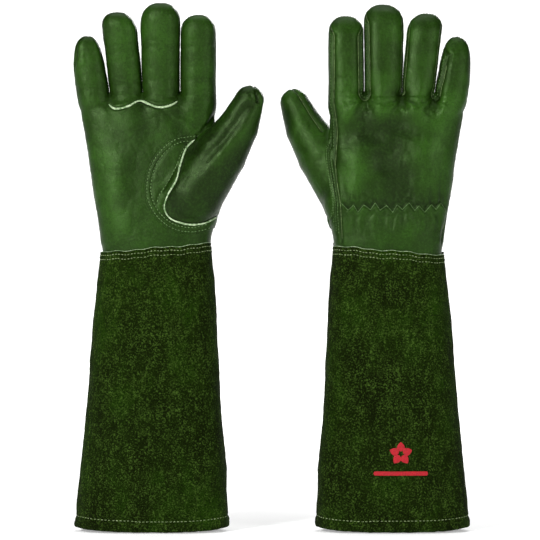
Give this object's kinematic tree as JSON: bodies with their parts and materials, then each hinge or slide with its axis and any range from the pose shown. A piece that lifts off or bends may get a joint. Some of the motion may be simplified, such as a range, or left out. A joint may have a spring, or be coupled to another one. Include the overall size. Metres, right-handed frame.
{
  "type": "gardening gauntlet gloves",
  "caption": "Pair of long gardening gloves: smooth leather hand with separate finger stalls and thumb, sewn into a flared open suede cuff.",
  "frame": {"origin": "centre of the pair's footprint, on the surface that the hems stand on", "axes": "+Z from the hems to the fingertips, +X from glove a to glove b, -Y the side that glove a's palm and glove b's back face"},
  "size_m": [0.324, 0.07, 0.43],
  "materials": {
    "leather": "smooth grain, soft sheen",
    "suede": "napped split leather, mottled, matte",
    "raw_edge": "pale cut edge, matte",
    "thread": "twisted sewing thread",
    "elastic": "woven elastic tape"
  },
  "bodies": {
    "a_cuff": {"a_cuff_palm_panel": "suede", "a_cuff_back_panel": "suede", "a_wrist_sleeve": "leather", "a_cuff_seam_thread": "thread", "a_hem_thread": "thread"},
    "a_hand": {"a_palm_panel": "leather", "a_back_panel": "leather", "a_middle_ring_front": "leather", "a_finger_base_welt": "raw_edge", "a_thumb_root": "leather", "a_thumb_welt": "raw_edge", "a_palm_patch": "leather", "a_patch_thread": "thread", "a_wrist_elastic": "elastic", "a_elastic_thread": "thread"},
    "a_thumb": {"a_thumb_front": "leather", "a_thumb_back": "leather"},
    "a_index": {"a_index_front": "leather", "a_index_back": "leather", "a_index_fourchette": "leather"},
    "a_middle": {"a_middle_front": "leather", "a_middle_back": "leather", "a_middle_fourchette": "leather"},
    "a_ring": {"a_ring_front": "leather", "a_ring_back": "leather", "a_ring_fourchette": "leather"},
    "a_little": {"a_little_front": "leather", "a_little_back": "leather", "a_little_fourchette": "leather"},
    "b_cuff": {"b_cuff_palm_panel": "suede", "b_cuff_back_panel": "suede", "b_wrist_sleeve": "leather", "b_cuff_seam_thread": "thread", "b_hem_thread": "thread"},
    "b_hand": {"b_palm_panel": "leather", "b_back_panel": "leather", "b_middle_ring_front": "leather", "b_finger_base_welt": "raw_edge", "b_thumb_root": "leather", "b_thumb_welt": "raw_edge", "b_palm_patch": "leather", "b_patch_thread": "thread", "b_wrist_elastic": "elastic", "b_elastic_thread": "thread"},
    "b_thumb": {"b_thumb_front": "leather", "b_thumb_back": "leather"},
    "b_index": {"b_index_front": "leather", "b_index_back": "leather", "b_index_fourchette": "leather"},
    "b_middle": {"b_middle_front": "leather", "b_middle_back": "leather", "b_middle_fourchette": "leather"},
    "b_ring": {"b_ring_front": "leather", "b_ring_back": "leather", "b_ring_fourchette": "leather"},
    "b_little": {"b_little_front": "leather", "b_little_back": "leather", "b_little_fourchette": "leather"}
  },
  "joints": [
    {"name": "a_wrist_bend", "type": "hinge", "parent": "a_cuff", "child": "a_hand", "pos_m": [-0.0946, 0, 0.245], "axis": [1, 0, 0], "range_deg": [-30, 30]},
    {"name": "a_index_bend", "type": "hinge", "parent": "a_hand", "child": "a_index", "pos_m": [-0.0608, 0, 0.37], "axis": [1, 0, 0], "range_deg": [0, 70]},
    {"name": "a_middle_bend", "type": "hinge", "parent": "a_hand", "child": "a_middle", "pos_m": [-0.091, 0, 0.37], "axis": [1, 0, 0], "range_deg": [0, 70]},
    {"name": "a_ring_bend", "type": "hinge", "parent": "a_hand", "child": "a_ring", "pos_m": [-0.1218, 0, 0.366], "axis": [0.9962, 0, 0.0872], "range_deg": [0, 70]},
    {"name": "a_little_bend", "type": "hinge", "parent": "a_hand", "child": "a_little", "pos_m": [-0.1476, 0, 0.363], "axis": [0.9945, 0, 0.1045], "range_deg": [0, 70]},
    {"name": "a_thumb_bend", "type": "hinge", "parent": "a_hand", "child": "a_thumb", "pos_m": [-0.03, -0.018, 0.331], "axis": [0.8471, 0, -0.5314], "range_deg": [0, 45]},
    {"name": "b_wrist_bend", "type": "hinge", "parent": "b_cuff", "child": "b_hand", "pos_m": [0.0946, 0, 0.245], "axis": [-1, 0, 0], "range_deg": [-30, 30]},
    {"name": "b_index_bend", "type": "hinge", "parent": "b_hand", "child": "b_index", "pos_m": [0.0608, 0, 0.37], "axis": [-1, 0, 0], "range_deg": [0, 70]},
    {"name": "b_middle_bend", "type": "hinge", "parent": "b_hand", "child": "b_middle", "pos_m": [0.091, 0, 0.37], "axis": [-1, 0, 0], "range_deg": [0, 70]},
    {"name": "b_ring_bend", "type": "hinge", "parent": "b_hand", "child": "b_ring", "pos_m": [0.1218, 0, 0.366], "axis": [-0.9962, 0, 0.0872], "range_deg": [0, 70]},
    {"name": "b_little_bend", "type": "hinge", "parent": "b_hand", "child": "b_little", "pos_m": [0.1476, 0, 0.363], "axis": [-0.9945, 0, 0.1045], "range_deg": [0, 70]},
    {"name": "b_thumb_bend", "type": "hinge", "parent": "b_hand", "child": "b_thumb", "pos_m": [0.03, 0.018, 0.331], "axis": [-0.8471, 0, -0.5314], "range_deg": [0, 45]},
    {"name": "pair_spacing", "type": "slide", "parent": "a_cuff", "child": "b_cuff", "axis": [1, 0, 0], "range_m": [0, 0.12]}
  ]
}
